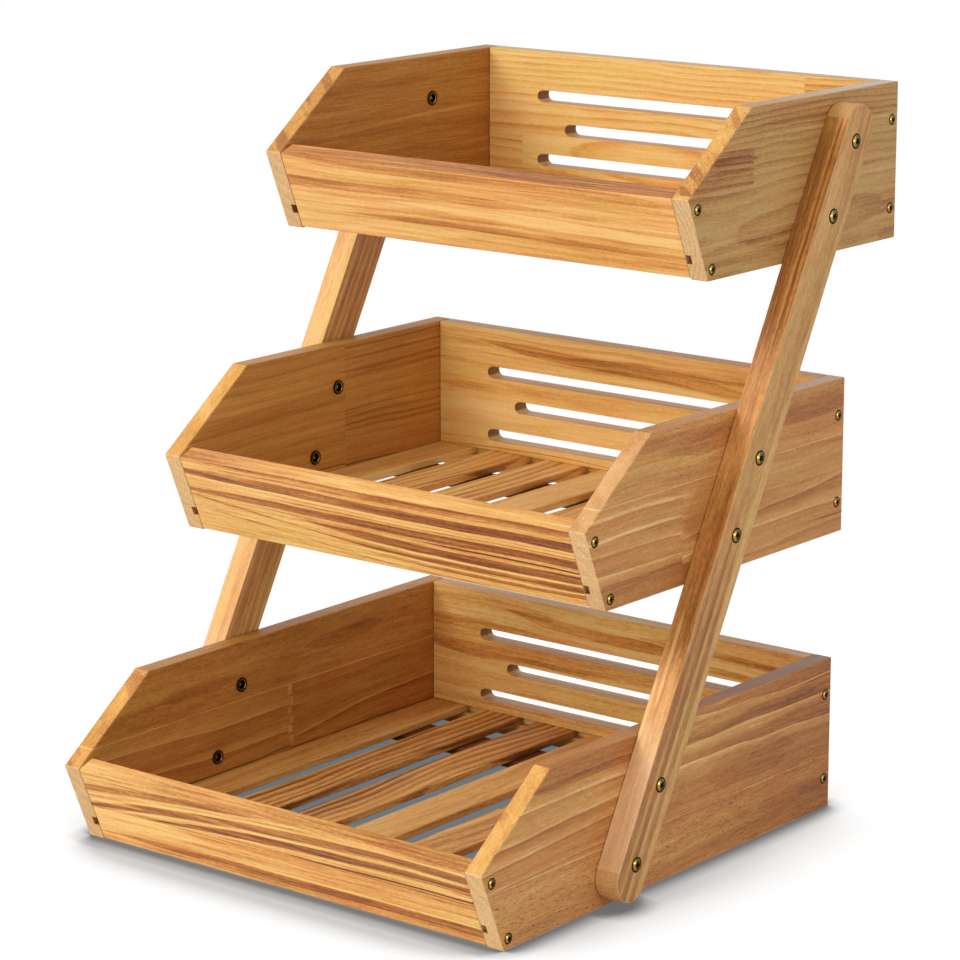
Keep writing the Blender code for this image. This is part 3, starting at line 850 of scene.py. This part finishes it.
def carve(item, cutters):
    """Cut each cutter out of the item and keep the result as a plain mesh."""
    for cutter in cutters:
        modifier = item.modifiers.new("cut", "BOOLEAN")
        modifier.object = cutter
        modifier.solver = "EXACT"
    shapes = bpy.context.evaluated_depsgraph_get()
    mesh = bpy.data.meshes.new_from_object(item.evaluated_get(shapes))
    bpy.data.objects.remove(item)
    for cutter in cutters:
        bpy.data.objects.remove(cutter)
    mesh.shade_smooth()
    mesh.set_sharp_from_angle(angle=math.radians(32))
    return mesh


def cross_outline(reach, half_width):
    """A cross of four equal arms, as corners in order."""
    points = []
    for quarter in range(4):
        turn = Matrix.Rotation(quarter * math.pi / 2, 2)
        for corner in ((half_width, half_width), (half_width, reach), (-half_width, reach)):
            points.append(turn @ Vector(corner))
    return [(point.x, point.y) for point in points]


# A head from its crown, over a straight shoulder, to its thin rim: shares of its radius and rise
head_outline = [
    (0.0, 1.0), (0.20, 0.985), (0.36, 0.945), (0.46, 0.885), (0.52, 0.82), (0.56, 0.728),
    (0.74, 0.312), (0.78, 0.22), (0.80, 0.18), (0.83, 0.15), (0.97, 0.12), (1.0, 0.07),
]
head_foot = 0.00005
face_slack = 0.00005
weld = 0.000001
cross_taper = 1.45
cross_mouth_rise = 0.0003

# Leg bolts, in metres: the head with its cross by reach, half width and depth, how far down the
# crown reaches over it, the shank, and the nut with its socket
head_radius = 0.0058
head_rise = 0.00145
bolt_cross = (0.0027, 0.0008, 0.0012)
bolt_crown = 0.00030
shank_radius = 0.0025
nut_radius = 0.0043
nut_length = 0.013
flange_radius = 0.0058
flange_thickness = 0.0010
socket_radius = 0.0034
socket_depth = 0.006
socket_mouth_step = 0.0003
socket_lip = 0.0005
socket_bevel = 0.0002
cut_overrun = 0.002
bolt_end_depth = 0.0020
bolt_end_radius = 0.0014
ease = 0.00008
soft = 0.00035
turn_steps = 40

# Corner screws, in metres: the same, with (radius, height) pairs down the shank
screw_radius = 0.0043
screw_rise = 0.0011
screw_cross = (0.0020, 0.00062, 0.0009)
screw_crown = 0.00024
screw_shank = [(0.0018, head_foot), (0.0018, -0.003), (0.0008, -0.0055), (0, -0.006)]
screw_steps = 32


def head_profile(radius, rise):
    """The outside of a screw's head, from its crown to its underside."""
    return [(radius * across, rise * up) for across, up in head_outline] + [(0.98 * radius, head_foot)]


def ring_cutter(name, inner, outer, foot, top):
    """A closed ring with square edges."""
    corners = [(inner, foot), (outer, foot), (outer, top), (inner, top), (inner, foot)]
    shape = turned(corners, turn_steps)
    bmesh.ops.remove_doubles(shape, verts=shape.verts, dist=weld)
    bmesh.ops.recalc_face_normals(shape, faces=shape.faces)
    return mesh_object(name, shape)


def cross_cutter(name, cross, rise):
    """The tapered cross that a screwdriver fits, wider at its mouth."""
    reach, half_width, depth = cross
    outline = cross_outline(reach / cross_taper, half_width / cross_taper)
    return mesh_object(name, prism(outline, rise - depth, rise + cross_mouth_rise, cross_taper))


def in_cross(centre, cross, rise, crown):
    """Whether a face is inside the cross of a head."""
    flat = math.hypot(centre.x, centre.y)
    return centre.z > 0 and flat < cross[0] + 2 * face_slack and centre.z < rise - crown


def shade_faces(mesh, materials, pick):
    """Give each face the material whose number pick returns for its centre."""
    for material in materials:
        mesh.materials.append(material)
    for face in mesh.polygons:
        face.material_index = pick(face.center)


head_shades = [(66, 64, 26), (92, 80, 34), (130, 104, 46)]
bolt_zinc = zinc("bolt_zinc", 1000.0 * head_radius, head_shades)
screw_zinc = zinc("screw_zinc", 1000.0 * screw_radius, head_shades)
# The cross recesses and nut sockets are painted near black, as the shade in those hollows
recess_shade_zinc = zinc("recess_shade_zinc", 0.0, [(20, 19, 14), (28, 26, 18), (40, 37, 26)])
flange_zinc = zinc("flange_zinc", flange_rim_mm, [(60, 57, 24), (84, 74, 32), (108, 90, 42)])
steel = zinc("bolt_end_steel", 0.0, [(92, 82, 74), (120, 108, 98), (150, 138, 126)])


def leg_bolt_mesh():
    """A domed bolt in its flanged nut, whose socket shows the bolt's own end."""
    panel_inside = -(leg_thickness + joint_gap + board_thickness)
    back = panel_inside + nut_length
    seat = panel_inside - joint_gap
    mouth = seat - flange_thickness
    step = mouth + socket_mouth_step
    profile = head_profile(head_radius, head_rise) + [
        (shank_radius, head_foot), (shank_radius, back), (nut_radius - ease, back), (nut_radius, back - ease),
        (nut_radius, seat), (flange_radius - ease, seat), (flange_radius, seat - ease),
        (flange_radius, mouth + soft), (flange_radius - 0.3 * soft, mouth + 0.3 * soft),
        (flange_radius - soft, mouth), (socket_radius + socket_lip, mouth),
        (socket_radius + socket_bevel, step), (0, step),
    ]
    body = mesh_object("leg_bolt_body", turned(profile, turn_steps))
    cross = cross_cutter("bolt_cross", bolt_cross, head_rise)
    hexagon = []
    for corner in range(6):
        turn = math.pi * corner / 3
        hexagon.append((socket_radius * math.cos(turn), socket_radius * math.sin(turn)))
    socket = mesh_object("nut_socket", prism(hexagon, mouth - cut_overrun, mouth + bolt_end_depth))
    annulus = ring_cutter("socket_ring", bolt_end_radius, 0.84 * socket_radius, mouth, mouth + socket_depth)
    mesh = carve(body, [cross, socket, annulus])

    def pick(centre):
        flat = math.hypot(centre.x, centre.y)
        if centre.z > 0:
            return int(in_cross(centre, bolt_cross, head_rise, bolt_crown))
        if centre.z < back and flat < bolt_end_radius and centre.z < mouth + bolt_end_depth + ease:
            return 3
        if centre.z < back - ease and flat < socket_radius + face_slack:
            return 1
        return 2

    shade_faces(mesh, [bolt_zinc, recess_shade_zinc, flange_zinc, steel], pick)
    return mesh


def corner_screw_mesh():
    """A domed screw with a plain tapered shank."""
    profile = head_profile(screw_radius, screw_rise) + screw_shank
    body = mesh_object("corner_screw_body", turned(profile, screw_steps))
    mesh = carve(body, [cross_cutter("screw_cross", screw_cross, screw_rise)])

    def pick(centre):
        return int(in_cross(centre, screw_cross, screw_rise, screw_crown))

    shade_faces(mesh, [screw_zinc, recess_shade_zinc], pick)
    return mesh


def fasten(name, mesh, spot, outward, spin):
    """Place a fastening with its head outwards, its cross turned by spin."""
    item = new_object(name, mesh)
    facing = Vector(outward).to_track_quat("Z", "Y").to_matrix().to_4x4()
    item.matrix_world = Matrix.Translation(spot) @ facing @ Matrix.Rotation(spin, 4, "Z")
    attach(item, "root")
    return item


# Where the fastenings are: the corner screws by end, level and height, then how far in they sit
bolt_heights = (("lower", lower_bolt_height), ("upper", upper_bolt_height))
screw_heights = (
    ("front", "lower", 0.0083), ("front", "upper", 0.0535),
    ("back", "lower", 0.0238), ("back", "upper", 0.0916),
)
front_screw_inset = 0.0083
back_screw_inset = 0.0078
spin_step = 0.9

bolt_mesh = leg_bolt_mesh()
screw_mesh = corner_screw_mesh()
fastening_number = 0
for tier, depth, setback, rise in tiers:
    front_y = setback - origin_setback
    for side_name, side in sides:
        outward = (side, 0, 0)
        for level, height in bolt_heights:
            fastening_number += 1
            node_name = "_".join(("leg_bolt", side_name, tier, level))
            up = rise + height
            spot = (side * leg_face_x, leg_setback - origin_setback + up * math.tan(leg_angle), up)
            bolt = fasten(node_name + "_turned", bolt_mesh, spot, outward, spin_step * fastening_number)
            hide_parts(node_name)
        for end, level, height in screw_heights:
            fastening_number += 1
            name = "_".join(("screw", tier, side_name, end, level))
            if end == "front":
                inwards = front_screw_inset - height * front_lean / nose_height
            else:
                inwards = depth - back_screw_inset
            spot = (side * crate_half_width, front_y + inwards, rise + height)
            fasten(name, screw_mesh, spot, outward, spin_step * fastening_number)


# Painted shadow: how light the floor's glow is by how open it is, within 150 mm and within 20 mm of the stand
wide_reach = 0.15
close_reach = 0.020
open_profile = [
    (0.0, 0.55), (0.42, 0.55), (0.435, 0.51), (0.455, 0.43), (0.48, 0.44), (0.517, 0.450), (0.55, 0.47),
    (0.585, 0.555), (0.61, 0.63), (0.64, 0.72), (0.70, 0.81), (0.76, 0.87), (0.85, 0.93), (1.0, 0.96),
]
close_profile = [
    (0.0, 0.24), (0.50, 0.26), (0.59, 0.33), (0.68, 0.45), (0.765, 0.59), (0.842, 0.75), (0.913, 0.86),
    (0.985, 0.95), (1.0, 1.0),
]
# The same within 20 mm in front of the front board, which leans over the floor
lean_profile = [
    (0.0, 0.26), (0.47, 0.28), (0.50, 0.35), (0.54, 0.46), (0.60, 0.56), (0.69, 0.665), (0.855, 0.80),
    (1.0, 1.0),
]
# Under the bottom crate the floor's painted shade and its sheet are bluish and even
beneath_shades = [
    (0.0, (0.13, 0.17, 0.20, 1.0)), (0.33, (0.14, 0.172, 0.195, 1.0)), (1.0, (0.20, 0.21, 0.22, 1.0)),
]
beneath_sheet = (0.16, 0.18, 0.19, 1.0)
beside_sheet = grey(0.175)
bounce_sheet = grey(0.80)
white = grey(1.0)
white_range = (0.42, 0.75)
floor_half_size = 6.0


def floor_material():
    """Pale, with shade painted into its glow where the stand is near it, real shadow where the stand keeps
    the light off it, and white beyond.
    """
    g = Graph(bpy.data.materials.new("floor"))
    place = g.node("TexCoord").outputs["Object"]
    far = g.smooth(g.vector("LENGTH", place), *white_range)
    wide = g.node("AmbientOcclusion", {"Distance": wide_reach}, samples=16).outputs["AO"]
    close = g.node("AmbientOcclusion", {"Distance": close_reach}, samples=16).outputs["AO"]
    in_width = g.within(g.axis(place, "X"), -crate_half_width, crate_half_width)
    in_depth = g.within(g.axis(place, "Y"), -origin_setback, tiers[0][1] - origin_setback)
    under = g.times(in_width, in_depth)
    in_front = g.within(g.axis(place, "Y"), -2.0 - origin_setback, -origin_setback)
    close_shade = g.curve(close, close_profile, "LINEAR")
    close_shade = g.blend(in_front, close_shade, g.curve(close, lean_profile, "LINEAR"))
    beside = g.blend(1.0, g.curve(wide, open_profile, "LINEAR"), close_shade, "MULTIPLY")
    painted_shade_colour = g.blend(under, beside, g.ramp(wide, beneath_shades))
    glow = g.node("Emission", {"Color": painted_shade_colour, "Strength": 1.0})
    sheet_colour = g.blend(under, g.blend(1.0, beside_sheet, close_shade, "MULTIPLY"), beneath_sheet)
    sheet = g.node("BsdfDiffuse", {"Color": sheet_colour})
    lit = g.node("AddShader", {0: sheet.outputs[0], 1: glow.outputs[0]})
    beyond = g.node("Emission", {"Color": white, "Strength": 1.0})
    near_or_far = g.node("MixShader", {0: far, 1: lit.outputs[0], 2: beyond.outputs[0]})
    bounce = g.node("BsdfDiffuse", {"Color": bounce_sheet})
    in_view = g.node("LightPath").outputs["Is Camera Ray"]
    seen = g.node("MixShader", {0: in_view, 1: bounce.outputs[0], 2: near_or_far.outputs[0]})
    g.feed(g.nodes["Material Output"].inputs["Surface"], seen.outputs[0])
    g.nodes.remove(g.shader)
    return g.owner


floor_shape = bmesh.new()
bmesh.ops.create_grid(floor_shape, x_segments=8, y_segments=8, size=floor_half_size)
floor = mesh_object("floor", floor_shape)
floor.data.materials.append(floor_material())


def area_light(name, place, aim_height, width, height, power):
    """A soft white lamp that looks at the stand's axis at a height."""
    data = bpy.data.lights.new(name, "AREA")
    data.shape = "RECTANGLE"
    data.size = width
    data.size_y = height
    data.energy = power
    lamp = new_object(name, data)
    lamp.location = place
    lamp.rotation_euler = (Vector(place) - Vector((0, 0, aim_height))).to_track_quat("Z", "Y").to_euler()


area_light("key", (-1.3, -2.5, 2.1), 0.25, 1.6, 1.4, 43.0)
area_light("front_fill", (0.2, -3.0, 0.75), 0.25, 1.5, 1.5, 14.0)
area_light("side_strip", (3.0, -0.1, 0.62), 0.28, 0.35, 0.8, 6.5)

# The world lights the stand, and shows white to the camera and in reflections
world = Graph(bpy.data.worlds.new("studio"))
bpy.context.scene.world = world.owner
surround = world.nodes["Background"]
world.feed(surround.inputs["Color"], white)
world.feed(surround.inputs["Strength"], 0.62)
backdrop = world.node("Background", {"Color": white, "Strength": 1.0})
path = world.node("LightPath")
shown = world.math("MAXIMUM", path.outputs["Is Camera Ray"], path.outputs["Is Glossy Ray"])
shown = world.math("MAXIMUM", shown, path.outputs["Is Transmission Ray"])
choose = world.node("MixShader", {0: shown, 1: surround.outputs[0], 2: backdrop.outputs[0]})
world.feed(world.nodes["World Output"].inputs["Surface"], choose.outputs[0])

bpy.context.scene.view_settings.view_transform = "Standard"
